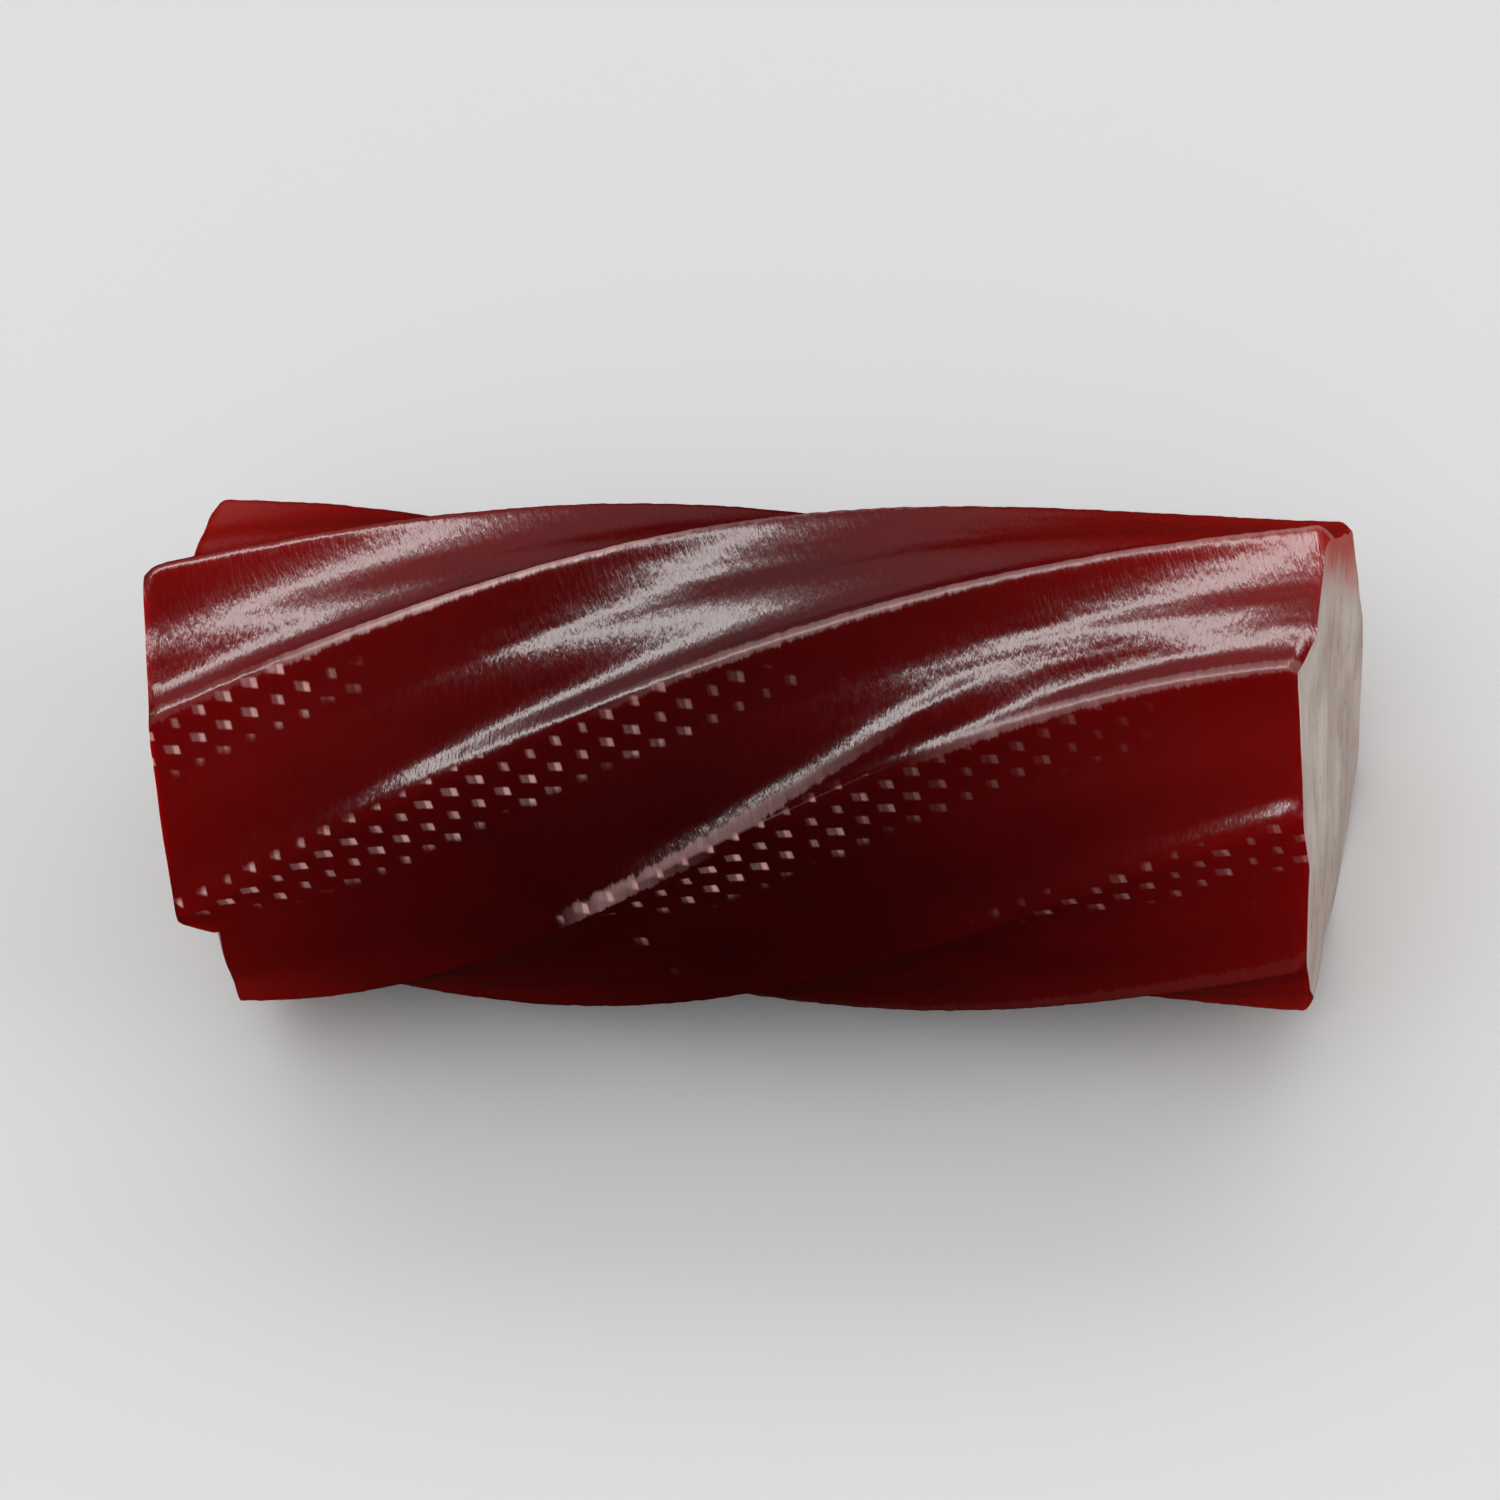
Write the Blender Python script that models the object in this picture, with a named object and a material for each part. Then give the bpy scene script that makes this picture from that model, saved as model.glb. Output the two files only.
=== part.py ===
"""One short piece of twisted red licorice, lying on its side.

Metres, +Z up. The piece lies along X with its front at -Y, and rests on the flat spots at z = 0.
Its section is a flattened round with nine saw-tooth fins, all one body. The fins lean back as they run to the right.
Both ends are knife cuts, a little uneven.
"""

import bmesh
import bpy
import numpy as np

MM = 0.001

# The section
HALF_WIDTH = 7.7 * MM
HALF_HEIGHT = 6.9 * MM
FIN_HEIGHT = 0.7 * MM
PRESSED_FLAT = 0.7 * MM  # how much of the underside is pressed away

# The length
LEFT_END = -16.9 * MM
RIGHT_END = 17.1 * MM

# Crest angles of the nine fins in degrees, from straight up towards the back: half a run left of the middle,
# in the middle, and half a run right of it. The last number is how far the crest sways off that curve.
HALF_RUN = 17.5 * MM
FIN_CRESTS = (
    (62, 114, 150, 4),
    (21, 76, 116, 5),
    (-24, 45, 82, 9),
    (-75, -5, 46, 1),
    (-119, -51, -5, 12),
    (-157, -96, -42, 5),
    (-193, -131, -80, 3),
    (-228, -169, -122, 5),
    (-263, -207, -168, 6),
)

# Depth across one flute as a share of the fin height, from the crest below to the crest above:
# a steep step, a nearly flat floor and a lip that rounds over to the crest.
FLUTE_SHARE = (0.0, 0.1, 0.2, 0.32, 0.45, 0.58, 0.7, 0.8, 0.9, 1.0)
FLUTE_DEPTH = (0.0, 0.54, 0.76, 0.83, 0.93, 1.0, 0.86, 0.49, 0.13, 0.0)

# Where each cut lies along X, by angle in degrees from straight up towards the back,
# and the share of the length over which its unevenness fades out. A point slides along X with it,
# which moves it round with the fins, so its place settles in a few passes.
CUT_REACH = 0.15
SETTLING_PASSES = 3
LEFT_CUT = (
    (-250, -16.6 * MM),
    (-150, -15.6 * MM),
    (-80, -15.3 * MM),
    (-75, -16.4 * MM),
    (-21, -17.1 * MM),
    (24, -17.8 * MM),
    (33, -16.5 * MM),
)
RIGHT_CUT = (
    (-240, 17.4 * MM),
    (-210, 17.2 * MM),
    (-145, 16.5 * MM),
    (-58, 17.3 * MM),
    (-6, 16.9 * MM),
    (5, 17.35 * MM),
    (38, 17.25 * MM),
    (54, 17.5 * MM),
)

# Mesh fineness
POINTS_PER_FLUTE = 10
STATIONS = 44
CAP_RINGS = (0.7, 0.35)
CREST_EDGE_DEG = 35

RED = (0.24, 0.004, 0.006, 1.0)


def clear_scene():
    for old in list(bpy.data.objects):
        bpy.data.objects.remove(old)


def crest_angle(fin, x):
    """Angle in radians of a fin's crest at x. Fins past the ninth are the same fins, one turn further."""
    turns, row = divmod(fin, len(FIN_CRESTS))
    left, middle, right, sway = FIN_CRESTS[row]
    run = x / HALF_RUN
    bend = (left + right) / 2 - middle
    angle = middle + (right - left) / 2 * run + bend * run**2 + sway * run * (1 - run**2)
    return np.radians(angle - 360 * turns)


def round_radius(angle):
    """Distance from the axis to the flattened round at an angle from straight up."""
    return 1 / np.hypot(np.sin(angle) / HALF_WIDTH, np.cos(angle) / HALF_HEIGHT)


def cut_shift(cut, end, angle, share):
    """How far a cut moves the skin along X, at a share of the length away from its end."""
    degrees, places = zip(*cut)
    place = np.interp(np.degrees(angle), degrees, places, period=360)
    return (place - end) * max(1 - share / CUT_REACH, 0) ** 2


def skin_point(fin, share, along):
    """A point on the skin: share runs from one crest up to the next, along from the left cut to the right."""
    straight = LEFT_END + (RIGHT_END - LEFT_END) * along
    x = straight
    for _ in range(SETTLING_PASSES):
        low = crest_angle(fin + 1, x)
        high = crest_angle(fin, x)
        angle = low + (high - low) * share
        left = cut_shift(LEFT_CUT, LEFT_END, angle, along)
        right = cut_shift(RIGHT_CUT, RIGHT_END, angle, 1 - along)
        x = straight + left + right
    depth = FIN_HEIGHT * np.interp(share, FLUTE_SHARE, FLUTE_DEPTH)
    radius = round_radius(angle) - depth
    height = HALF_HEIGHT - PRESSED_FLAT
    return x, radius * np.sin(angle), max(radius * np.cos(angle) + height, 0.0)


def skin_ring(along):
    """One closed ring round the skin, from fin to fin."""
    ring = []
    for fin in range(len(FIN_CRESTS)):
        for step in range(POINTS_PER_FLUTE):
            ring.append(skin_point(fin, 1 - step / POINTS_PER_FLUTE, along))
    return ring


def add_cap(mesh, rim, turn):
    """Closes an end with rings that shrink towards its middle, and a fan."""
    centre = np.mean([corner.co for corner in rim], axis=0)
    outer = rim
    for size in CAP_RINGS:
        inner = [mesh.verts.new(centre + (np.array(corner.co) - centre) * size) for corner in rim]
        join_rings(mesh, outer, inner, turn)
        outer = inner
    hub = mesh.verts.new(centre)
    for here, after in zip(outer, outer[1:] + outer[:1]):
        mesh.faces.new((here, after, hub)[::turn])


def join_rings(mesh, outer, inner, turn):
    for i in range(len(outer)):
        j = (i + 1) % len(outer)
        mesh.faces.new((outer[i], outer[j], inner[j], inner[i])[::turn])


def licorice_mesh():
    mesh = bmesh.new()
    rings = []
    for station in range(STATIONS + 1):
        ring = skin_ring(station / STATIONS)
        rings.append([mesh.verts.new(point) for point in ring])
    for before, after in zip(rings, rings[1:]):
        join_rings(mesh, before, after, 1)
    add_cap(mesh, rings[0], -1)
    add_cap(mesh, rings[-1], 1)
    bmesh.ops.recalc_face_normals(mesh, faces=mesh.faces)
    bmesh.ops.triangulate(mesh, faces=mesh.faces)
    return mesh


def licorice_material():
    material = bpy.data.materials.new("red licorice")
    material.use_nodes = True
    shader = material.node_tree.nodes["Principled BSDF"]
    shader.inputs["Base Color"].default_value = RED
    shader.inputs["Metallic"].default_value = 0.0
    shader.inputs["Roughness"].default_value = 0.25
    return material


def make_licorice():
    data = bpy.data.meshes.new("licorice_piece")
    mesh = licorice_mesh()
    mesh.to_mesh(data)
    mesh.free()
    data.shade_smooth()
    data.set_sharp_from_angle(angle=np.radians(CREST_EDGE_DEG))
    data.materials.append(licorice_material())
    piece = bpy.data.objects.new("licorice_piece", data)
    bpy.context.scene.collection.objects.link(piece)


clear_scene()
make_licorice()
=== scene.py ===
"""The looks of one short piece of twisted red licorice: its finned skin, the marks in it and its cut ends.

Metres and radians, +Z up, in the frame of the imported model. The piece lies along X with its front at -Y.
A plain tube is made first, with columns that run along the fins. A node tree then raises the fins on it,
presses the woven marks of a belt into them and roughens the two knife cuts.
"""

import bpy
import numpy as np
from mathutils import Matrix, Vector


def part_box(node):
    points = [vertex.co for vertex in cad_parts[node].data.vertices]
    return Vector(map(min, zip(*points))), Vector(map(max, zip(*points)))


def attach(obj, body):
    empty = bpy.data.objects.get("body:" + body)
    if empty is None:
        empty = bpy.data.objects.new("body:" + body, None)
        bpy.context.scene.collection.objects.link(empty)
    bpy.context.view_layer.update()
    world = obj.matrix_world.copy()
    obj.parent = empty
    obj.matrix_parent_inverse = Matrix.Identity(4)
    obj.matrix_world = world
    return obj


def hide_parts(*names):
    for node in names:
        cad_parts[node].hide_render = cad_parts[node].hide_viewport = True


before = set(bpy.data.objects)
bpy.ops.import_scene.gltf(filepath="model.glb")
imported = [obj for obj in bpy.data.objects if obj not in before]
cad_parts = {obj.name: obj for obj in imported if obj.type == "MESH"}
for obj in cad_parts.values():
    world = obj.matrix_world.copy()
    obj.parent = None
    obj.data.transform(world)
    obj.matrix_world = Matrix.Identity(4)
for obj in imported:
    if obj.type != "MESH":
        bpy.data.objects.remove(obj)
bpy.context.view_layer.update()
LOW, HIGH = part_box("licorice_piece")

MM = 0.001

# The section
HALF_WIDTH = 7.7 * MM
HALF_HEIGHT = 6.9 * MM
FIN_HEIGHT = 0.7 * MM
PRESSED_FLAT = 0.7 * MM  # how much of the underside is pressed away
PRESSED_EDGE = 0.15 * MM  # how softly the skin meets the flat spots
AXIS_HEIGHT = HALF_HEIGHT - PRESSED_FLAT

# The length, and the cuts: where each lies along X, by angle in degrees from straight up towards the back
LEFT_END = -16.9 * MM
RIGHT_END = 17.1 * MM
CUT_REACH = 0.15
SETTLING_PASSES = 3
LEFT_CUT = (
    (-250, -16.6 * MM),
    (-150, -15.6 * MM),
    (-80, -15.3 * MM),
    (-75, -16.4 * MM),
    (-21, -17.1 * MM),
    (24, -17.8 * MM),
    (33, -16.5 * MM),
)
RIGHT_CUT = (
    (-240, 17.4 * MM),
    (-210, 17.2 * MM),
    (-145, 16.5 * MM),
    (-58, 17.3 * MM),
    (-6, 16.9 * MM),
    (5, 17.35 * MM),
    (38, 17.25 * MM),
    (54, 17.5 * MM),
)

# Crest angles of the nine fins in degrees: half a run left of the middle, in the middle,
# half a run right of it, and how far the crest sways off that curve
HALF_RUN = 17.5 * MM
FIN_CRESTS = np.array(
    (
        (62, 114, 150, 4),
        (21, 76, 116, 5),
        (-24, 45, 82, 9),
        (-75, -5, 46, 1),
        (-119, -51, -5, 12),
        (-157, -96, -42, 5),
        (-193, -131, -80, 3),
        (-228, -169, -122, 5),
        (-263, -207, -168, 6),
    )
)
FINS = len(FIN_CRESTS)
FLUTE_WIDTH = 2 * np.pi * HALF_WIDTH / FINS

# Slopes in degrees across one flute, inwards above 0, each from a share of the way from the crest below
# to the crest above: a step with a soft foot and a flat floor, then a lip that rounds over to the crest.
# What is left over at the crest above is taken out evenly, so that it is as high as the crest below.
STEP_SLOPES = (
    (0.0, 36),
    (0.04, 35),
    (0.08, 32),
    (0.11, 27),
    (0.13, 21.5),
    (0.15, 15.5),
    (0.17, 11),
    (0.185, 7),
    (0.20, 3),
    (0.22, -1),
    (0.26, -4.5),
    (0.31, -4),
    (0.36, -3.5),
    (0.42, -2.5),
    (0.46, 0),
)
LIP_SLOPES = (
    (0.50, 1),
    (0.54, 0.5),
    (0.57, -2),
    (0.60, -5.5),
    (0.63, -10),
    (0.66, -13.5),
    (0.70, -16.5),
    (0.75, -20),
    (0.80, -24),
    (0.85, -29),
    (0.89, -32),
    (0.93, -28),
    (0.955, -18),
    (0.98, -8),
)

# Roundings
CREST_TURN = 0.9  # the slopes on the two sides of a crest, added up
CREST_ROUNDING = 0.25 * MM  # how far the rounding of a crest reaches to each side
RIM_ROUNDING = 0.4 * MM
RIM_DROP = 0.25  # of the rim rounding, in the flutes
CREST_RIM_DROP = 0.8  # of the rim rounding, added at the crests
CREST_RIM_REACH = 0.9 * MM  # to each side of a crest

# Folds: in the flutes under these crests the step leaves the crest below at this place, softer,
# drifts across the flute as it runs to the right, and fades out while a new step grows at the crest
FRONT_FOLD = 3
FOLD_STARTS = {FRONT_FOLD: -3.8 * MM, 6: 3 * MM, 8: -12 * MM}
FOLD_SLOPES = (
    (0.0, 30),
    (0.02, 42),
    (0.05, 46),
    (0.08, 42),
    (0.11, 32),
    (0.14, 20),
    (0.17, 10),
    (0.20, 3),
)
FOLD_CROSSING = 19.4 * MM  # it would cross the whole flute in this length, faster and faster
FOLD_CROSSING_SHARE = 0.9  # at most this share of that length counts
FOLD_AT_ONCE = 0.7  # how much of it is there where it starts
FOLD_GROWTH = 3 * MM
FOLD_LENGTH = 12.8 * MM
FOLD_FADE = 11 * MM
FOLD_FADE_POWER = 1.5

# The new step that the fold in front tucks under: narrow, with a floor that sinks towards the fold,
# and how much of that flute is so, at places along X in mm
TUCKED_SLOPES = (
    (0.0, 36),
    (0.02, 34),
    (0.04, 26),
    (0.055, 20),
    (0.07, 15),
    (0.085, 10),
    (0.10, 5),
    (0.13, 2),
    (0.20, 3),
    (0.27, 8),
    (0.32, 9),
    (0.38, 7),
    (0.43, 4.5),
    (0.47, 2),
)
TUCKED = ((-6, 0), (-3, 1), (7, 1), (11, 0), (13, 0), (17, 0.6))

# Unevenness: the sizes of its features, and how deep it goes between its lowest and highest
SWELL_SIZES = (7 * MM, 3 * MM, 3 * MM)
SWELL = 0.2  # of the fin height
NOTCH_SIZES = (0.4 * MM, 1.5 * MM, 1.5 * MM)
NOTCH_DEPTH = 0.09 * MM
NOTCH_REACH = 0.7 * MM  # to each side of a crest
RIPPLE_LENGTH = 6 * MM
RIPPLE_WIDTH = 0.75 * MM
RIPPLE_DEPTH = 0.05 * MM
BUMP_SIZES = (2.2 * MM, 1.4 * MM, 1.4 * MM)
BUMP_DEPTH = 0.05 * MM
GROOVE_WIDTH = 0.9 * MM  # of the knife
GROOVE_LENGTH = 5 * MM
WAVE_SIZES = (9 * MM, 3 * MM, 3 * MM)  # of the cut faces
WAVES = 2  # times as deep as the grooves
KNIFE_DEPTH = 0.09 * MM
KNIFE_REACH = 0.93  # of the way from the middle of a cut to its rim, past which the roughness fades out
SEED = 4.0

# The belt that the piece once lay on: a plain weave, pressed into the ridges that touched it
BELT_FACING = -38  # degrees from straight up towards the back
BELT_REACH = 32  # degrees to each side
BELT_FADE = 0.15  # of that reach, before and after its end
BELT_TOUCH = {  # how hard the flute under a crest touched it, at places along X in mm
    2: ((-12.5, 1.0), (-10.5, 0.0)),
    3: ((-5, 1.0), (-2, 0.6), (0, 0.25), (3, 0.1), (4, 0.0)),
    4: ((1, 1.0), (4, 0.5), (6, 0.15), (11, 0.1), (13, 0.0)),
    5: ((8, 0.0), (10, 0.3)),
}
TOUCHING_LIP = (0.56, 0.74)  # the shares of a flute between which its lip comes to touch
TOUCHING_FOOT = (0.06, 0.03)  # and the strip along the crest below
PATCH_SIZES = (1.6 * MM, 0.9 * MM, 0.9 * MM)
PATCHINESS = 1.6
PATCH_MIDDLE = 0.6
PRESSED = (0.15, 0.65)  # touches between which a mark grows to its full strength
THREAD_PITCH = 0.76 * MM  # along the piece
ROW_PITCH = 0.39 * MM  # across it
THREAD_SLANT = 0.14  # threads that a mark leans to the left on its way up
MARK_DEPTH = 0.05 * MM
MARK_FOOT = 0.3  # of that depth at a mark's lower side. Its upper side is the whole depth deeper
MARK_LOWER_EDGE = (0.08, 0.3)  # of a row
MARK_UPPER_EDGE = (0.92, 0.7)
MARK_START = 0.15  # of a thread, and later by chance
MARK_START_CHANCE = 0.35
MARK_LEFT_EDGE = 0.15
MARK_RIGHT_EDGE = (0.9, 0.8)
MARK_STRENGTH = 1.1
MARK_WEAKENING = 0.7  # at most, by chance

# Mesh fineness
STATIONS = 370
PLAIN_FLUTE = ((0.0, 4), (0.14, 8), (0.9, 3))  # from this share up, this many steps
MARKED_FLUTE = ((0.0, 5), (0.14, 5), (0.5, 26))
FOLDED_FLUTE = ((0.0, 6), (0.12, 15), (0.47, 26))
CUT_RINGS = 15
CUT_RING_BIAS = 1.4  # above 1 the rings crowd towards the rim
CUT_FLATTENING = 3  # the power by which a cut's points come to lie in one plane towards its middle

# The skin's colours, from the photo
DEEP_RED = (0.022, 0.0001, 0.0002)
# Also the red of painted light: the glow near the cuts and the lit top
CLEAR_AND_LIT_RED = (0.16, 0.0006, 0.0008)
GLOWING_RED = (0.42, 0.012, 0.006)
# The pink of the belt marks is a painted highlight, where their dents catch the light
MARK_PINK = (0.62, 0.34, 0.33)
# The pink of the crests' bands: rubbed wear and a painted highlight
CREST_PINK = (0.46, 0.29, 0.28)

# How clear its red is, from 0 to 1: everywhere, and more near the cuts and on top, which is painted light: a
# glow near the cuts, where light that enters them shows, and a lighter top, where the light falls
CLEARNESS = 0.05
GLOW_NEAR_CUTS = 0.9
PAINTED_LIGHT_ON_TOP = 0.24
TOP = (0.4, 1.1)  # in heights of the piece
TOP_LEAN = 0.6  # towards the back
MOTTLE = 0.2
MOTTLE_SIZES = (3.5 * MM, 1.6 * MM, 1.6 * MM)

# How much it glows near the cuts, behind and below, where light comes through the fins
GLOW_REACH = 7.5 * MM  # how far light that enters at the cuts shows
GLOW_BEHIND = 0.6
BEHIND = (0.1, 0.8)  # in half widths
GLOW_BELOW = 0.5
BELOW = (0.55, 0.15)  # in heights of the piece

# The crests that are rubbed pale and carry a painted highlight, and the fold in front: how much, at places
# along X in mm
RUB_AND_HIGHLIGHT_REACH = 0.45 * MM  # to each side of the crest
OTHER_RUB_AND_HIGHLIGHT = 0.03
RUBS_AND_HIGHLIGHTS = {
    2: ((-14, 0.1), (-12, 0.7), (-9, 1.0), (-3, 1.0), (-1, 0.3), (17, 0.3)),
    3: ((-4, 0.0), (1, 0.35), (5, 0.5), (17, 0.5)),
    4: ((-4.9, 0.0), (-3.5, 0.5), (-2, 0.2), (0, 0.0), (5.5, 0.0), (8, 0.3), (17, 0.3)),
    5: ((17, 0.0),),
}
FOLD_RUB_AND_HIGHLIGHT = ((-4.9, 0.0), (-3.5, 0.5), (-1, 0.55), (3, 0.25), (5.5, 0.0), (8, 0.3), (17, 0.3))
FOLD_RUB_AND_HIGHLIGHT_LENGTH = 9.3 * MM  # this far along a fold
BIT_WIDTH = 0.2 * MM  # of the pale bits, rubbed and painted with a highlight, that a crest's band is made of
BIT_LENGTH = 1.5 * MM
BIT_PALENESS = 0.3
RAGGEDNESS = 0.9
RUB_AND_HIGHLIGHT_EDGE = (0.35, 0.6)

# The fine lines of the die, which cross the skin, and how they and the marks show
LINE_LEAN = 0.21  # along X, for each step up in the view
LINE_WIDTH = 0.11 * MM
LINE_LENGTH = 0.5 * MM
LINE_DEPTH = 0.03 * MM
LINE_CONTRAST = 1.5  # in the marks
# A mark's pale pink is a painted highlight, brightest on its right part
MARK_LEFT_HIGHLIGHT = 0.22  # how pale a mark's left part is beside its right part
MARK_MIDDLE = (0.56, 0.68)  # of a thread, between these parts

# How rough the skin's gloss is, and what adds to that
SKIN_ROUGHNESS = 0.16
LINE_ROUGHNESS = 0.06
ROUGH_LINES = (0.35, 0.75)
MARK_ROUGHNESS = 0.2
RUB_ROUGHNESS = 0.22
RUBBED_RIDGE = (0.1, 0.7)
RUBBED_ENOUGH = (0, 0.5)

# The cut faces, from the photo
# The pale grey of the cut faces is dust and a painted reflection of the pale floor, seen at a grazing angle
CUT_RED = (0.36, 0.25, 0.215)
CUT_DUST_AND_REFLECTION = (0.55, 0.48, 0.43)
CUT_SPECK = (0.10, 0.045, 0.038)
# A painted glow: light coming through the cut's thin top
CUT_TOP = (0.42, 0.035, 0.018)
STREAK_WIDTH = 0.5 * MM
STREAK_LENGTH = 3 * MM
STREAK_DEPTH = 0.03 * MM
CLOUD_SIZES = (3 * MM, 2.4 * MM, 2.4 * MM)
STREAK_DUST_AND_REFLECTION = 0.5
CLOUD_DUST_AND_REFLECTION = 0.7
DUST_AND_REFLECTION_LEVELS = (0.35, 0.8)
SPECK_WIDTH = 0.14 * MM
SPECK_LENGTH = 0.5 * MM
SPECKS = (0.69, 0.75)  # the heights of noise between which a speck begins
SPECK_STRENGTH = 0.8
RED_FROM = (4.7 * MM, 6.7 * MM)  # above the middle in the view, where a cut's top shows red: a painted glow of light through its thin top, without the painted reflection
RED_RAGGEDNESS = 2.2 * MM
RED_STRENGTH = 0.95

# The view
TURN = np.radians(9)
LIFT = np.radians(60)
ROLL = np.radians(0.65)
EYE_DISTANCE = 450 * MM
WIDTH_IN_VIEW = 44.5 * MM
NEAREST = 10 * MM
SENSOR = 36

# The studio
FLOOR_HALF = 3.0
FLOOR_DROP = 0.02 * MM
FLOOR_GREY = (0.76, 0.76, 0.76)
BACKDROP = (0.85, 0.85, 0.85)
SKY_BELOW = (0.25, 0.25, 0.25)
SKY_ABOVE = (0.75, 0.75, 0.75)
SKY_HEIGHTS = (-0.3, 1.0)  # the heights of a direction between which it turns from one to the other
DARK_ROOM = (0.004, 0.004, 0.004)
PALE_WALL = (0.27, 0.26, 0.275)
WALL_FRONT = (0.1, 0.5)  # where it begins towards the back
WALL_BOTTOM = (-0.35, 0.1)
WALL_TOP = (0.97, 0.8)
HALO = (2.4, 2.4, 2.4)  # round the long box
HALO_BOTTOM = np.radians((14, 41))  # how high above the horizon at the back it grows
HALO_TOP = np.radians((60, 51))  # and where it fades again
HALO_SIDES = (0.85, 0.6)
LIGHTS = (  # name, direction, distance, size, radiance, and if the gloss mirrors it or it lights the colours
    ("long box", (-0.14, 0.70, 0.71), 0.6, (1.0, 0.13), 8.5, True),
    ("soft key", (-0.2, -0.3, 0.9), 0.8, (0.7, 0.5), 0.9, False),
    ("side fill", (1.0, -0.1, 0.5), 0.8, (0.4, 0.4), 2.4, False),
)


class Value:
    """The output of a node. Arithmetic on it adds Math nodes to its tree."""

    def __init__(self, net, socket):
        self.net = net
        self.socket = socket

    def math(self, operation, *terms):
        return self.net.add("ShaderNodeMath", {"operation": operation}, terms)

    def __add__(self, other):
        return self.math("ADD", self, other)

    def __radd__(self, other):
        return self.math("ADD", other, self)

    def __sub__(self, other):
        return self.math("SUBTRACT", self, other)

    def __rsub__(self, other):
        return self.math("SUBTRACT", other, self)

    def __mul__(self, other):
        return self.math("MULTIPLY", self, other)

    def __rmul__(self, other):
        return self.math("MULTIPLY", other, self)

    def __truediv__(self, other):
        return self.math("DIVIDE", self, other)

    def __rtruediv__(self, other):
        return self.math("DIVIDE", other, self)

    def __pow__(self, other):
        return self.math("POWER", self, other)

    def __neg__(self):
        return self.math("MULTIPLY", self, -1)

    def between(self, low, high):
        """A smooth step from 0 at low to 1 at high. Low may be above high."""
        settings = {"interpolation_type": "SMOOTHSTEP"}
        inputs = {"Value": self, "From Min": low, "From Max": high}
        return self.net.add("ShaderNodeMapRange", settings, inputs)


class Net:
    """A node tree that is built from expressions."""

    def __init__(self, tree):
        self.tree = tree

    def add(self, kind, settings=(), inputs=(), output=0):
        """Adds a node, sets it up and fills its inputs with numbers or links. Returns one of its outputs."""
        node = self.tree.nodes.new(kind)
        for name, setting in dict(settings).items():
            if name == "points":
                lay_points(node.mapping, setting)
            else:
                setattr(node, name, setting)
        if not isinstance(inputs, dict):
            inputs = dict(enumerate(inputs))
        for place, given in inputs.items():
            if isinstance(given, Value):
                self.tree.links.new(given.socket, node.inputs[place])
            else:
                node.inputs[place].default_value = given
        return Value(self, node.outputs[output])

    def point(self, x, y, z):
        return self.add("ShaderNodeCombineXYZ", inputs=(x, y, z))

    def parts(self, vector):
        return [self.add("ShaderNodeSeparateXYZ", inputs=(vector,), output=i) for i in range(3)]

    def vector(self, operation, *terms):
        return self.add("ShaderNodeVectorMath", {"operation": operation}, terms)

    def stretched(self, vector, sizes):
        """The vector as a count of these sizes along X, Y and Z."""
        return self.vector("DIVIDE", vector, sizes)

    def noise(self, vector, detail=2.0, roughness=0.5):
        """Noise from 0 to 1 with features about one unit wide."""
        settings = {"noise_dimensions": "3D"}
        inputs = {"Vector": vector, "Scale": 1.0, "Detail": detail, "Roughness": roughness}
        return self.add("ShaderNodeTexNoise", settings, inputs)

    def blend(self, factor, first, second):
        """A colour between the first and the second."""
        settings = {"data_type": "RGBA"}
        inputs = {"Factor": factor, 6: colour(first), 7: colour(second)}
        return self.add("ShaderNodeMix", settings, inputs, output=2)


def colour(given):
    return given if isinstance(given, Value) else (*given, 1.0)


def flute_points(step_slopes):
    """Points of share and depth, in fin heights, across a flute with this step and the usual lip."""
    starts, degrees = np.array(step_slopes + LIP_SLOPES).T
    shares = np.append(starts, 1.0)
    steps = np.diff(shares) * FLUTE_WIDTH * np.tan(np.radians(degrees)) / FIN_HEIGHT
    depths = np.append(0.0, np.cumsum(steps))
    depths -= shares * depths[-1]
    return list(zip(shares.tolist(), depths.tolist()))


def lay_points(mapping, points):
    """Sets a curve's points. Both ends keep straight handles."""
    curve = mapping.curves[0]
    curve.points[0].location = points[0]
    curve.points[1].location = points[-1]
    for place in points[1:-1]:
        curve.points.new(*place)
    for point in curve.points:
        point.handle_type = "AUTO_CLAMPED"
    curve.points[0].handle_type = "VECTOR"
    curve.points[len(curve.points) - 1].handle_type = "VECTOR"
    mapping.update()


# The plain tube


def crest_angle(fin, x):
    """Angle of a fin's crest at x. Fins past the ninth are the same fins, one turn further."""
    left, middle, right, sway = np.moveaxis(FIN_CRESTS[fin % FINS], -1, 0)
    run = x / HALF_RUN
    bend = (left + right) / 2 - middle
    angle = middle + (right - left) / 2 * run + bend * run**2 + sway * run * (1 - run**2)
    return np.radians(angle - 360 * (fin // FINS))


def cut_shift(cut, end, angle, share):
    """How far a cut moves the skin along X, at a share of the length away from its end."""
    degrees, places = zip(*cut)
    place = np.interp(np.degrees(angle), degrees, places, period=360)
    return (place - end) * np.maximum(1 - share / CUT_REACH, 0) ** 2


def skin_places(fin, share, along):
    """Where the skin's points lie along X and round the piece."""
    straight = LEFT_END + (RIGHT_END - LEFT_END) * along
    x = straight
    for _ in range(SETTLING_PASSES):
        low = crest_angle(fin + 1, x)
        angle = low + (crest_angle(fin, x) - low) * share
        left = cut_shift(LEFT_CUT, LEFT_END, angle, along)
        right = cut_shift(RIGHT_CUT, RIGHT_END, angle, 1 - along)
        x = straight + left + right
    return x, angle


def level_at(places, x):
    """The level that a list of places along X in mm gives at x."""
    return np.interp(x / MM, *zip(*places))


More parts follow.
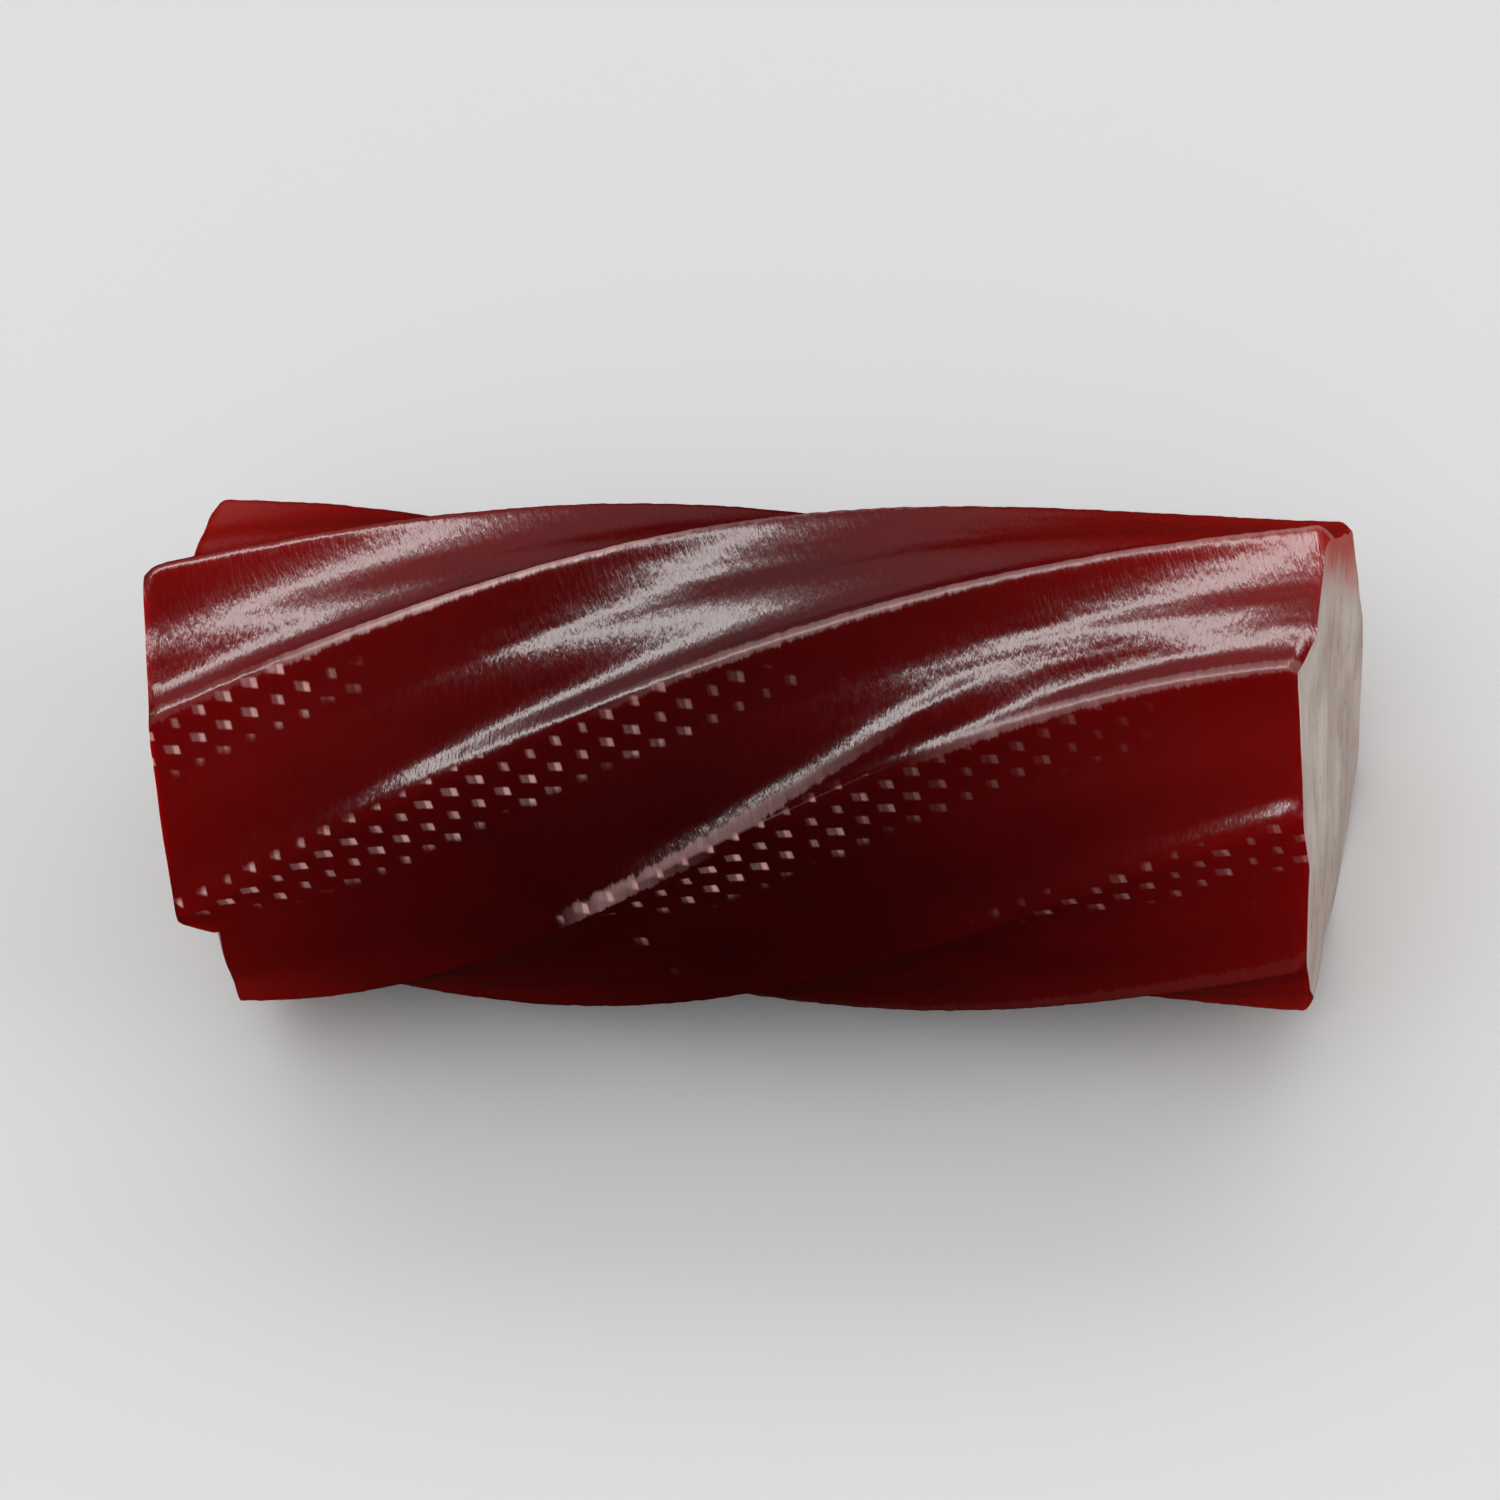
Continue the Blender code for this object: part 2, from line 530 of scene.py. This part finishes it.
def flute_columns():
    """The fin and the share of each column of the skin, once round, downwards from each crest."""
    fins, shares = [], []
    for fin in range(FINS):
        spans = MARKED_FLUTE if fin in BELT_TOUCH else PLAIN_FLUTE
        if fin in BELT_TOUCH and fin in FOLD_STARTS:
            spans = FOLDED_FLUTE
        ends = [start for start, _ in spans[1:]] + [1.0]
        steps = [np.linspace(start, end, count + 1)[1:] for (start, count), end in zip(spans, ends)]
        share = np.concatenate(steps)[::-1]
        fins += [fin] * len(share)
        shares += list(share)
    return np.array(fins), np.array(shares)


def fold_guides(fin, x):
    """How much of a fold there is, how far across its flute it has drifted, and how far its pale line has."""
    fold, fold_share, ridge_share = np.zeros((3, *x.shape))
    for folded_fin, start in FOLD_STARTS.items():
        here = fin == folded_fin
        run = x - start
        growing = np.clip(run / FOLD_GROWTH + FOLD_AT_ONCE, 0, 1)
        fading = np.clip((FOLD_LENGTH - run) / FOLD_FADE, 0, 1) ** FOLD_FADE_POWER
        crossed = np.clip(run / FOLD_CROSSING, 0, FOLD_CROSSING_SHARE) ** 2 * here
        fold += np.minimum(growing, fading) * here
        fold_share += crossed
        ridge_share += crossed * (run < FOLD_RUB_AND_HIGHLIGHT_LENGTH)
    return fold, fold_share, ridge_share


def rub_and_highlight_guide(fin, share, x):
    """How much the crest nearest to a point is rubbed pale and painted with a highlight."""
    lower_half = share < 0.5
    crest = (fin + lower_half) % FINS
    rub = np.full(x.shape, OTHER_RUB_AND_HIGHLIGHT)
    for rubbed_and_lit_crest, rubs_and_highlights in RUBS_AND_HIGHLIGHTS.items():
        rub = np.where(crest == rubbed_and_lit_crest, level_at(rubs_and_highlights, x), rub)
    return np.where((fin == FRONT_FOLD) & lower_half, level_at(FOLD_RUB_AND_HIGHLIGHT, x), rub)


def tube_rings():
    """The guides of each ring of points, from the left hub's side to the right's."""
    fin, share = flute_columns()
    sizes = (np.arange(1, CUT_RINGS + 1) / (CUT_RINGS + 1)) ** (1 / CUT_RING_BIAS)
    along = np.concatenate((sizes * 0, np.linspace(0, 1, STATIONS + 1), sizes * 0 + 1))
    reach = np.concatenate((sizes, np.ones(STATIONS + 1), sizes[::-1]))
    x, angle = skin_places(fin[None, :], share[None, :], along[:, None])
    fold, fold_share, ridge_share = fold_guides(fin, x)
    touch = np.zeros(x.shape)
    for touched_fin, touches in BELT_TOUCH.items():
        touch += level_at(touches, x) * (fin == touched_fin)
    from_ridge = np.minimum(np.abs(share - ridge_share), 1 - share) * FLUTE_WIDTH
    guides = {
        "share": share,
        "place": x,
        "angle": angle,
        "rim": np.minimum(along, 1 - along)[:, None] * (RIGHT_END - LEFT_END),
        "reach": reach[:, None],
        "fold": fold,
        "fold share": fold_share,
        "tuck": level_at(TUCKED, x) * (fin == FRONT_FOLD),
        "touch": touch,
        "ridge": np.clip(1 - from_ridge / RUB_AND_HIGHLIGHT_REACH, 0, 1),
        "rub": rub_and_highlight_guide(fin, share, x),
    }
    return {name: np.broadcast_to(guide, x.shape) for name, guide in guides.items()}


def plain_tube():
    """The closed tube, with the guides of its points as attributes, and the faces of the cuts marked."""
    rings = tube_rings()
    count, columns = rings["place"].shape
    right_side = np.arange(count) > count / 2
    hubs = np.where(right_side, rings["place"][-1].mean(), rings["place"][0].mean())
    guides = {name: np.append(value.ravel(), (0, 0)) for name, value in rings.items()}
    guides["hub"] = np.append(np.repeat(hubs, columns), (hubs[0], hubs[-1]))
    guides["place"][-2:] = hubs[0], hubs[-1]

    here = np.arange(count * columns).reshape(count, columns)
    after = np.roll(here, -1, axis=1)
    quads = np.stack((here[:-1], here[1:], after[1:], after[:-1]), axis=-1).reshape(-1, 4)
    first, last = count * columns, count * columns + 1
    fans = [(first, low, high) for low, high in zip(here[0], after[0])]
    fans += [(last, high, low) for low, high in zip(here[-1], after[-1])]
    points = np.zeros((count * columns + 2, 3))
    mesh = bpy.data.meshes.new("licorice")
    mesh.from_pydata(points.tolist(), [], quads.tolist() + fans)
    for name, value in guides.items():
        mesh.attributes.new(name, "FLOAT", "POINT").data.foreach_set("value", value.astype(np.float32))
    ring = np.repeat(np.arange(count - 1), columns)
    is_cut = (ring < CUT_RINGS) | (ring >= CUT_RINGS + STATIONS)
    is_cut = np.append(is_cut, np.ones(2 * columns, bool))
    mesh.attributes.new("cut", "BOOLEAN", "FACE").data.foreach_set("value", is_cut)
    mesh.shade_smooth()
    return mesh


# The node tree that shapes the tube

SIZES = {
    "Half width": HALF_WIDTH,
    "Half height": HALF_HEIGHT,
    "Axis height": AXIS_HEIGHT,
    "Fin height": FIN_HEIGHT,
    "Crest rounding": CREST_ROUNDING,
    "Rim rounding": RIM_ROUNDING,
    "Belt facing": np.radians(BELT_FACING),
    "Belt reach": np.radians(BELT_REACH),
    "Thread pitch": THREAD_PITCH,
    "Row pitch": ROW_PITCH,
    "Mark depth": MARK_DEPTH,
    "Unevenness": BUMP_DEPTH,
    "Knife roughness": KNIFE_DEPTH,
    "Seed": SEED,
}


class Shaping(Net):
    """The tree's named sizes and the guides of the points."""

    def __init__(self, tree):
        super().__init__(tree)
        sockets = tree.interface
        sockets.new_socket("Geometry", in_out="INPUT", socket_type="NodeSocketGeometry")
        for name, size in SIZES.items():
            sockets.new_socket(name, in_out="INPUT", socket_type="NodeSocketFloat").default_value = size
        for name in ("Skin", "Cut face"):
            sockets.new_socket(name, in_out="INPUT", socket_type="NodeSocketMaterial")
        sockets.new_socket("Geometry", in_out="OUTPUT", socket_type="NodeSocketGeometry")
        self.entry = tree.nodes.new("NodeGroupInput")

    def size(self, name):
        return Value(self, self.entry.outputs[name])

    def guide(self, name, kind="FLOAT"):
        return self.add("GeometryNodeInputNamedAttribute", {"data_type": kind}, {"Name": name})

    def flute(self, step_slopes, share):
        """The depth at a share across a flute with this step, in fin heights."""
        return self.add("ShaderNodeFloatCurve", {"points": flute_points(step_slopes)}, {"Value": share})


def closeness(distance, reach):
    """1 at no distance, 0 from the reach on."""
    return distance.math("MAXIMUM", 1 - distance / reach, 0)


def flute_depth(net, share):
    """The depth of the flute at a point in fin heights, with its tuck and its fold."""
    fold_share = net.guide("fold share")
    beyond_fold = share.math("MAXIMUM", (share - fold_share) / (1 - fold_share), 0)
    plain = net.flute(STEP_SLOPES, share)
    plain = plain + (net.flute(TUCKED_SLOPES, share) - plain) * net.guide("tuck")
    return plain + (net.flute(FOLD_SLOPES, beyond_fold) - plain) * net.guide("fold")


def fin_depth(net, share, spot):
    """How deep the skin lies under the fins' tips: flutes, rounded crests and rims, and some unevenness."""
    swell = net.noise(net.stretched(spot, SWELL_SIZES), detail=1)
    height = net.size("Fin height") * (1 - SWELL / 2 + SWELL * swell)
    edge = share.math("MINIMUM", share, 1 - share) * FLUTE_WIDTH
    rounding = net.size("Crest rounding")
    blunting = CREST_TURN / 4 * rounding * closeness(edge, rounding) ** 2
    rim = closeness(net.guide("rim"), net.size("Rim rounding")) ** 2
    rim_drop = RIM_DROP + CREST_RIM_DROP * edge.between(CREST_RIM_REACH, 0)
    notches = net.noise(net.stretched(spot, NOTCH_SIZES), detail=2, roughness=0.6)
    x, _, _ = net.parts(spot)
    ripples_at = net.point(x / RIPPLE_LENGTH, share * FLUTE_WIDTH / RIPPLE_WIDTH, 0.5)
    ripples = net.noise(ripples_at, detail=2)
    near_crest = edge.between(NOTCH_REACH, 0)
    uneven = near_crest * (notches - 0.5) * NOTCH_DEPTH + (1 - near_crest) * (ripples - 0.5) * RIPPLE_DEPTH
    return height * flute_depth(net, share) + blunting + rim * net.size("Rim rounding") * rim_drop + uneven


def belt_place(net, share, angle, spot):
    """Where a point lay on the belt: its count of threads, its count of rows, and how hard it was pressed."""
    x, y, z = net.parts(spot)
    facing = net.size("Belt facing")
    across = y * facing.math("COSINE", facing) - z * facing.math("SINE", facing)
    patchy = net.noise(net.stretched(spot, PATCH_SIZES), detail=2)
    turned = angle.math("WRAP", angle - facing, np.pi, -np.pi)
    reach = net.size("Belt reach")
    in_reach = turned.math("ABSOLUTE", turned).between(reach * (1 + BELT_FADE), reach * (1 - BELT_FADE))
    ridge = share.math("MAXIMUM", share.between(*TOUCHING_LIP), share.between(*TOUCHING_FOOT))
    pressed = (ridge * in_reach + (patchy - PATCH_MIDDLE) * PATCHINESS).between(*PRESSED)
    touched = pressed * net.guide("touch")
    return net.point(x / net.size("Thread pitch"), across / net.size("Row pitch"), touched)


def weave_marks(net, place):
    """How far up and along its mark a point is, and 1 inside the mark, 0 outside.

    The marks of odd rows lie between those of even rows.
    """
    thread, row, pressed = net.parts(place)
    row_number = row.math("FLOOR", row)
    up = row - row_number
    column = (thread + up * THREAD_SLANT + row.math("FLOORED_MODULO", row_number, 2)) / 2
    column_number = column.math("FLOOR", column)
    along = (column - column_number) * 2
    mark = net.point(column_number, row_number, 0)
    chance = net.add("ShaderNodeTexWhiteNoise", inputs={"Vector": mark})
    start = MARK_START + MARK_START_CHANCE * chance
    low_and_high = up.between(*MARK_LOWER_EDGE) * up.between(*MARK_UPPER_EDGE)
    left_and_right = along.between(start, start + MARK_LEFT_EDGE) * along.between(*MARK_RIGHT_EDGE)
    strength = MARK_STRENGTH - MARK_WEAKENING * chance
    return up, along, low_and_high * left_and_right * pressed * strength


def along_the_cut(net, spot, width, length):
    """The spot as a count of a knife streak's width and length. The streaks rise towards the back."""
    x, y, z = net.parts(spot)
    down = z * np.sin(LIFT) - y * np.cos(LIFT)
    rise = y * np.sin(LIFT) + z * np.cos(LIFT)
    return net.point(x / length, down / width, rise / length)


def round_radius(net):
    """Distance from the axis to the flattened round at a point's angle."""
    angle = net.guide("angle")
    sine = angle.math("SINE", angle) / net.size("Half width")
    cosine = angle.math("COSINE", angle) / net.size("Half height")
    return 1 / (sine**2 + cosine**2) ** 0.5


def round_spot(net):
    """A point's place on the flattened round, before the fins, measured from the axis."""
    angle = net.guide("angle")
    radius = round_radius(net)
    sine = angle.math("SINE", angle)
    cosine = angle.math("COSINE", angle)
    return net.point(net.guide("place"), radius * sine, radius * cosine)


def skin_point(net, on_belt):
    """Where a point of the skin goes, with its fins, its marks and its flat spots."""
    share = net.guide("share")
    angle = net.guide("angle")
    seeded = net.vector("ADD", round_spot(net), net.point(net.size("Seed"), 0, 0))
    up, _, inside = weave_marks(net, on_belt)
    depth = fin_depth(net, share, seeded) + inside * (MARK_FOOT + up) * net.size("Mark depth")
    bumps = net.noise(net.stretched(seeded, BUMP_SIZES), detail=2)
    radius = round_radius(net) - depth + (bumps - 0.5) * net.size("Unevenness")
    height = radius * angle.math("COSINE", angle) + net.size("Axis height")
    height = height.math("SMOOTH_MAX", height, 0, PRESSED_EDGE)
    return net.point(net.guide("place"), radius * angle.math("SINE", angle), height)


def cut_point(net, skin):
    """Where a point goes that lies in a cut: shrunk towards the hub, and roughened by the knife."""
    reach = net.guide("reach")
    middle = net.point(net.guide("hub"), 0, net.size("Axis height"))
    shrunk = net.point(reach**CUT_FLATTENING, reach, reach)
    cut = net.vector("MULTIPLY_ADD", net.vector("SUBTRACT", skin, middle), shrunk, middle)
    grooves = net.noise(along_the_cut(net, cut, GROOVE_WIDTH, GROOVE_LENGTH), detail=3, roughness=0.6)
    waves = net.noise(net.stretched(cut, WAVE_SIZES), detail=1)
    rough = grooves - 0.5 + WAVES * (waves - 0.5)
    pushed = rough * net.size("Knife roughness") * reach.between(1.0, KNIFE_REACH)
    return net.vector("ADD", cut, net.point(pushed, 0, 0))


def shaping_tree():
    tree = bpy.data.node_groups.new("fins and marks", "GeometryNodeTree")
    net = Shaping(tree)
    on_belt = belt_place(net, net.guide("share"), net.guide("angle"), round_spot(net))
    shaped = cut_point(net, skin_point(net, on_belt))

    inputs = {"Geometry": net.size("Geometry"), "Name": "belt", "Value": on_belt}
    noted = net.add("GeometryNodeStoreNamedAttribute", {"data_type": "FLOAT_VECTOR"}, inputs)
    moved = net.add("GeometryNodeSetPosition", inputs={"Geometry": noted, "Position": shaped})
    skinned = net.add("GeometryNodeSetMaterial", inputs={"Geometry": moved, "Material": net.size("Skin")})
    cut_faces = net.guide("cut", "BOOLEAN")
    inputs = {"Geometry": skinned, "Selection": cut_faces, "Material": net.size("Cut face")}
    finished = net.add("GeometryNodeSetMaterial", inputs=inputs)
    real = net.add("GeometryNodeRealizeInstances", inputs={"Geometry": finished})
    tree.links.new(real.socket, tree.nodes.new("NodeGroupOutput").inputs["Geometry"])
    return tree


def shaped_licorice(skin, cut_face):
    """The finished piece as one plain mesh."""
    blank = bpy.data.objects.new("blank", plain_tube())
    bpy.context.scene.collection.objects.link(blank)
    tree = shaping_tree()
    modifier = blank.modifiers.new("shape", "NODES")
    modifier.node_group = tree
    given = {**SIZES, "Skin": skin, "Cut face": cut_face}
    for item in tree.interface.items_tree:
        if item.in_out == "INPUT" and item.name in given:
            modifier[item.identifier] = given[item.name]
    view = bpy.context.evaluated_depsgraph_get()
    shaped = blank.evaluated_get(view)
    mesh = bpy.data.meshes.new_from_object(shaped, preserve_all_data_layers=True, depsgraph=view)
    bpy.data.objects.remove(blank)
    mesh.name = "licorice"
    sharpen_rims(mesh)
    piece = bpy.data.objects.new("licorice", mesh)
    bpy.context.scene.collection.objects.link(piece)
    return piece


def sharpen_rims(mesh):
    """Marks the edges between the skin and the cuts as sharp."""
    loops = np.zeros(len(mesh.loops), int)
    mesh.loops.foreach_get("edge_index", loops)
    totals = np.zeros(len(mesh.polygons), int)
    mesh.polygons.foreach_get("loop_total", totals)
    materials = np.zeros(len(mesh.polygons), int)
    mesh.polygons.foreach_get("material_index", materials)
    of_loop = np.repeat(materials, totals)
    on_skin = np.bincount(loops, of_loop == 0, len(mesh.edges)) > 0
    on_cut = np.bincount(loops, of_loop == 1, len(mesh.edges)) > 0
    mesh.edges.foreach_set("use_edge_sharp", on_skin & on_cut)


# The finishes


def new_material(name):
    material = bpy.data.materials.new(name)
    material.use_nodes = True
    net = Net(material.node_tree)
    return material, net, material.node_tree.nodes["Principled BSDF"]


def dress(shader, constants, varying):
    """Sets the shader's plain values, and links what varies over the surface."""
    for name, given in constants.items():
        shader.inputs[name].default_value = given
    for name, value in varying.items():
        value.net.tree.links.new(value.socket, shader.inputs[name])


def gel_red_and_painted_light(net, spot):
    """The red of the gel: deep in the middle, with a painted glow near the cuts and painted light on top,
    glowing behind and below.
    """
    x, y, z = net.parts(spot)
    # Painted glow: light that enters at the cuts shows in the red near them
    end_depth = x.math("MINIMUM", x - LOW.x, HIGH.x - x) / GLOW_REACH
    end_glow = end_depth.math("EXPONENT", -end_depth)
    mottle = net.noise(net.stretched(spot, MOTTLE_SIZES), detail=3)
    # Painted light: the top, leaning to the back, is lighter where the light falls on it
    lit_top = (z + y * TOP_LEAN).between(TOP[0] * HIGH.z, TOP[1] * HIGH.z)
    clear_and_lit = end_glow * GLOW_NEAR_CUTS + CLEARNESS + lit_top * PAINTED_LIGHT_ON_TOP + (mottle - 0.5) * MOTTLE
    body = net.blend(clear_and_lit.between(0, 1), DEEP_RED, CLEAR_AND_LIT_RED)
    behind = y.between(BEHIND[0] * HALF_WIDTH, BEHIND[1] * HALF_WIDTH)
    below = z.between(BELOW[0] * HIGH.z, BELOW[1] * HIGH.z)
    glow = behind.math("MAXIMUM", behind * GLOW_BEHIND, below * GLOW_BELOW)
    return net.blend(glow * end_glow, body, GLOWING_RED)


def skin_material():
    """Clear red gel with a wet gloss, crossed by the fine lines of the die."""
    material, net, shader = new_material("licorice skin")
    spot = net.add("ShaderNodeTexCoord", output=3)
    x, y, z = net.parts(spot)
    leaning = x + LINE_LEAN * (y * np.sin(LIFT) + z * np.cos(LIFT))
    lines_at = net.point(leaning / LINE_WIDTH, y / LINE_LENGTH, z / LINE_LENGTH)
    lines = net.noise(lines_at, detail=2, roughness=0.6)
    belt = net.add("ShaderNodeAttribute", {"attribute_name": "belt"}, output=1)
    _, along, inside = weave_marks(net, belt)
    # Painted highlight on the belt marks: pale pink, brightest on each mark's right part and streaked by the
    # die's lines
    right_part = MARK_LEFT_HIGHLIGHT + (1 - MARK_LEFT_HIGHLIGHT) * along.between(*MARK_MIDDLE)
    paleness = inside * right_part * (1 + LINE_CONTRAST * (lines - 0.5))
    base = net.blend(paleness, gel_red_and_painted_light(net, spot), MARK_PINK)

    # The crests' pale bands: rubbed wear and a painted highlight, strongest where the crests catch the light
    ridge = net.add("ShaderNodeAttribute", {"attribute_name": "ridge"}, output=2)
    rub = net.add("ShaderNodeAttribute", {"attribute_name": "rub"}, output=2)
    bits_at = net.point(leaning / BIT_WIDTH, y / BIT_LENGTH, z / BIT_LENGTH)
    bits = net.noise(bits_at, detail=3, roughness=0.7)
    crest_line = (ridge + (bits - 0.5) * RAGGEDNESS).between(*RUB_AND_HIGHLIGHT_EDGE)
    base = net.blend(crest_line * rub * (BIT_PALENESS + bits), base, CREST_PINK)

    relief = net.add("ShaderNodeBump", inputs={"Strength": 1.0, "Distance": LINE_DEPTH, "Height": lines})
    worn = ridge.between(*RUBBED_RIDGE) * rub.between(*RUBBED_ENOUGH)
    roughness = SKIN_ROUGHNESS + LINE_ROUGHNESS * lines.between(*ROUGH_LINES)
    roughness = roughness + MARK_ROUGHNESS * inside + RUB_ROUGHNESS * worn
    constants = {
        "IOR": 1.45,
        "Subsurface Weight": 0.5,
        "Subsurface Radius": (1.0, 0.08, 0.05),
        "Subsurface Scale": 1.6 * MM,
    }
    dress(shader, constants, {"Base Color": base, "Roughness": roughness, "Normal": relief})
    return material


def cut_material():
    """The dull face that a knife leaves: red, dusted and paled by a painted reflection of the pale floor at a
    grazing angle, with a painted glow at its top, streaks and dark specks.
    """
    material, net, shader = new_material("licorice cut face")
    spot = net.add("ShaderNodeTexCoord", output=3)
    _, y, z = net.parts(spot)
    streaks = net.noise(along_the_cut(net, spot, STREAK_WIDTH, STREAK_LENGTH), detail=4, roughness=0.65)
    cloud = net.noise(net.stretched(spot, CLOUD_SIZES), detail=3)
    specks = net.noise(along_the_cut(net, spot, SPECK_WIDTH, SPECK_LENGTH), detail=1).between(*SPECKS)
    # Dust and painted reflection: the streaky pale grey
    dust_and_reflection = (streaks * STREAK_DUST_AND_REFLECTION + cloud * CLOUD_DUST_AND_REFLECTION).between(*DUST_AND_REFLECTION_LEVELS)
    base = net.blend(specks * SPECK_STRENGTH, net.blend(dust_and_reflection, CUT_RED, CUT_DUST_AND_REFLECTION), CUT_SPECK)
    # Painted glow at the top of the cut, where it rises in the view
    rise = y * np.sin(LIFT) + (z - AXIS_HEIGHT) * np.cos(LIFT) + (streaks + cloud - 1) * RED_RAGGEDNESS
    base = net.blend(rise.between(*RED_FROM) * RED_STRENGTH, base, CUT_TOP)
    relief = net.add("ShaderNodeBump", inputs={"Strength": 0.8, "Distance": STREAK_DEPTH, "Height": streaks})
    constants = {
        "IOR": 1.5,
        "Roughness": 0.65,
        "Specular IOR Level": 0.25,
        "Subsurface Weight": 0.2,
        "Subsurface Radius": (1.0, 0.15, 0.1),
        "Subsurface Scale": 1.0 * MM,
        "Sheen Weight": 0.05,
        "Sheen Roughness": 0.5,
    }
    dress(shader, constants, {"Base Color": base, "Normal": relief})
    return material


# The studio


def make_floor():
    corners = [(-1, -1), (1, -1), (1, 1), (-1, 1)]
    places = [(x * FLOOR_HALF, y * FLOOR_HALF, -FLOOR_DROP) for x, y in corners]
    mesh = bpy.data.meshes.new("floor")
    mesh.from_pydata(places, [], [(0, 1, 2, 3)])
    floor = bpy.data.objects.new("floor", mesh)
    bpy.context.scene.collection.objects.link(floor)
    material, _, shader = new_material("pale floor")
    dress(shader, {"Base Color": colour(FLOOR_GREY), "Roughness": 0.9}, {})
    mesh.materials.append(material)
    floor.visible_glossy = False


def soft_box(name, direction, distance, size, radiance, mirrored):
    """A flat light that faces the piece. The gloss mirrors it, or else it lights the colours."""
    direction = Vector(direction).normalized()
    light = bpy.data.lights.new(name, "AREA")
    light.shape = "RECTANGLE"
    light.size, light.size_y = size
    light.energy = radiance * np.pi * size[0] * size[1]
    holder = bpy.data.objects.new(name, light)
    holder.rotation_mode = "QUATERNION"
    holder.rotation_quaternion = direction.to_track_quat("Z", "Y")
    holder.location = direction * distance
    holder.visible_camera = False
    holder.visible_glossy = mirrored
    holder.visible_diffuse = not mirrored
    bpy.context.scene.collection.objects.link(holder)


def make_world():
    """Pale to the eye, with soft and even light on the colours.

    The gloss mirrors a dark room instead, with a paler wall behind and a halo round the long box.
    """
    world = bpy.data.worlds.new("studio")
    world.use_nodes = True
    bpy.context.scene.world = world
    net = Net(world.node_tree)
    direction = net.add("ShaderNodeTexCoord", output=0)
    x, y, z = net.parts(direction)
    wall = y.between(*WALL_FRONT) * z.between(*WALL_TOP) * z.between(*WALL_BOTTOM)
    room = net.blend(wall, DARK_ROOM, PALE_WALL)
    lift = z.math("ARCTAN2", z, y)
    beside_box = x.math("ABSOLUTE", x).between(*HALO_SIDES)
    halo = lift.between(*HALO_BOTTOM) ** 2 * lift.between(*HALO_TOP) * beside_box
    room = net.blend(halo, room, HALO)
    sky = net.blend(z.between(*SKY_HEIGHTS), SKY_BELOW, SKY_ABOVE)
    of_camera = net.add("ShaderNodeLightPath", output=0)
    diffuse = net.add("ShaderNodeLightPath", output=2)
    shown = net.blend(of_camera, net.blend(diffuse, room, sky), BACKDROP)
    world.node_tree.links.new(shown.socket, world.node_tree.nodes["Background"].inputs["Color"])


def make_camera():
    """The photo's viewing angle, closer in."""
    toward = Vector((np.sin(TURN), -np.cos(TURN) * np.cos(LIFT), np.cos(TURN) * np.sin(LIFT)))
    up = Vector((0, np.sin(LIFT), np.cos(LIFT)))
    right = up.cross(toward)
    across = right * np.cos(ROLL) + up * np.sin(ROLL)
    upright = up * np.cos(ROLL) - right * np.sin(ROLL)
    eye = bpy.data.cameras.new("eye")
    eye.sensor_width = SENSOR
    eye.lens = SENSOR * EYE_DISTANCE / WIDTH_IN_VIEW
    eye.clip_start = NEAREST
    holder = bpy.data.objects.new("eye", eye)
    bpy.context.scene.collection.objects.link(holder)
    turned = Matrix((across, upright, toward)).transposed().to_4x4()
    centre = (LOW + HIGH) / 2
    holder.matrix_world = Matrix.Translation(centre + toward * EYE_DISTANCE) @ turned
    bpy.context.scene.camera = holder


make_camera()
make_floor()
make_world()
for light in LIGHTS:
    soft_box(*light)
bpy.context.scene.view_settings.view_transform = "Standard"

licorice = shaped_licorice(skin_material(), cut_material())
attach(licorice, "root")
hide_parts("licorice_piece")
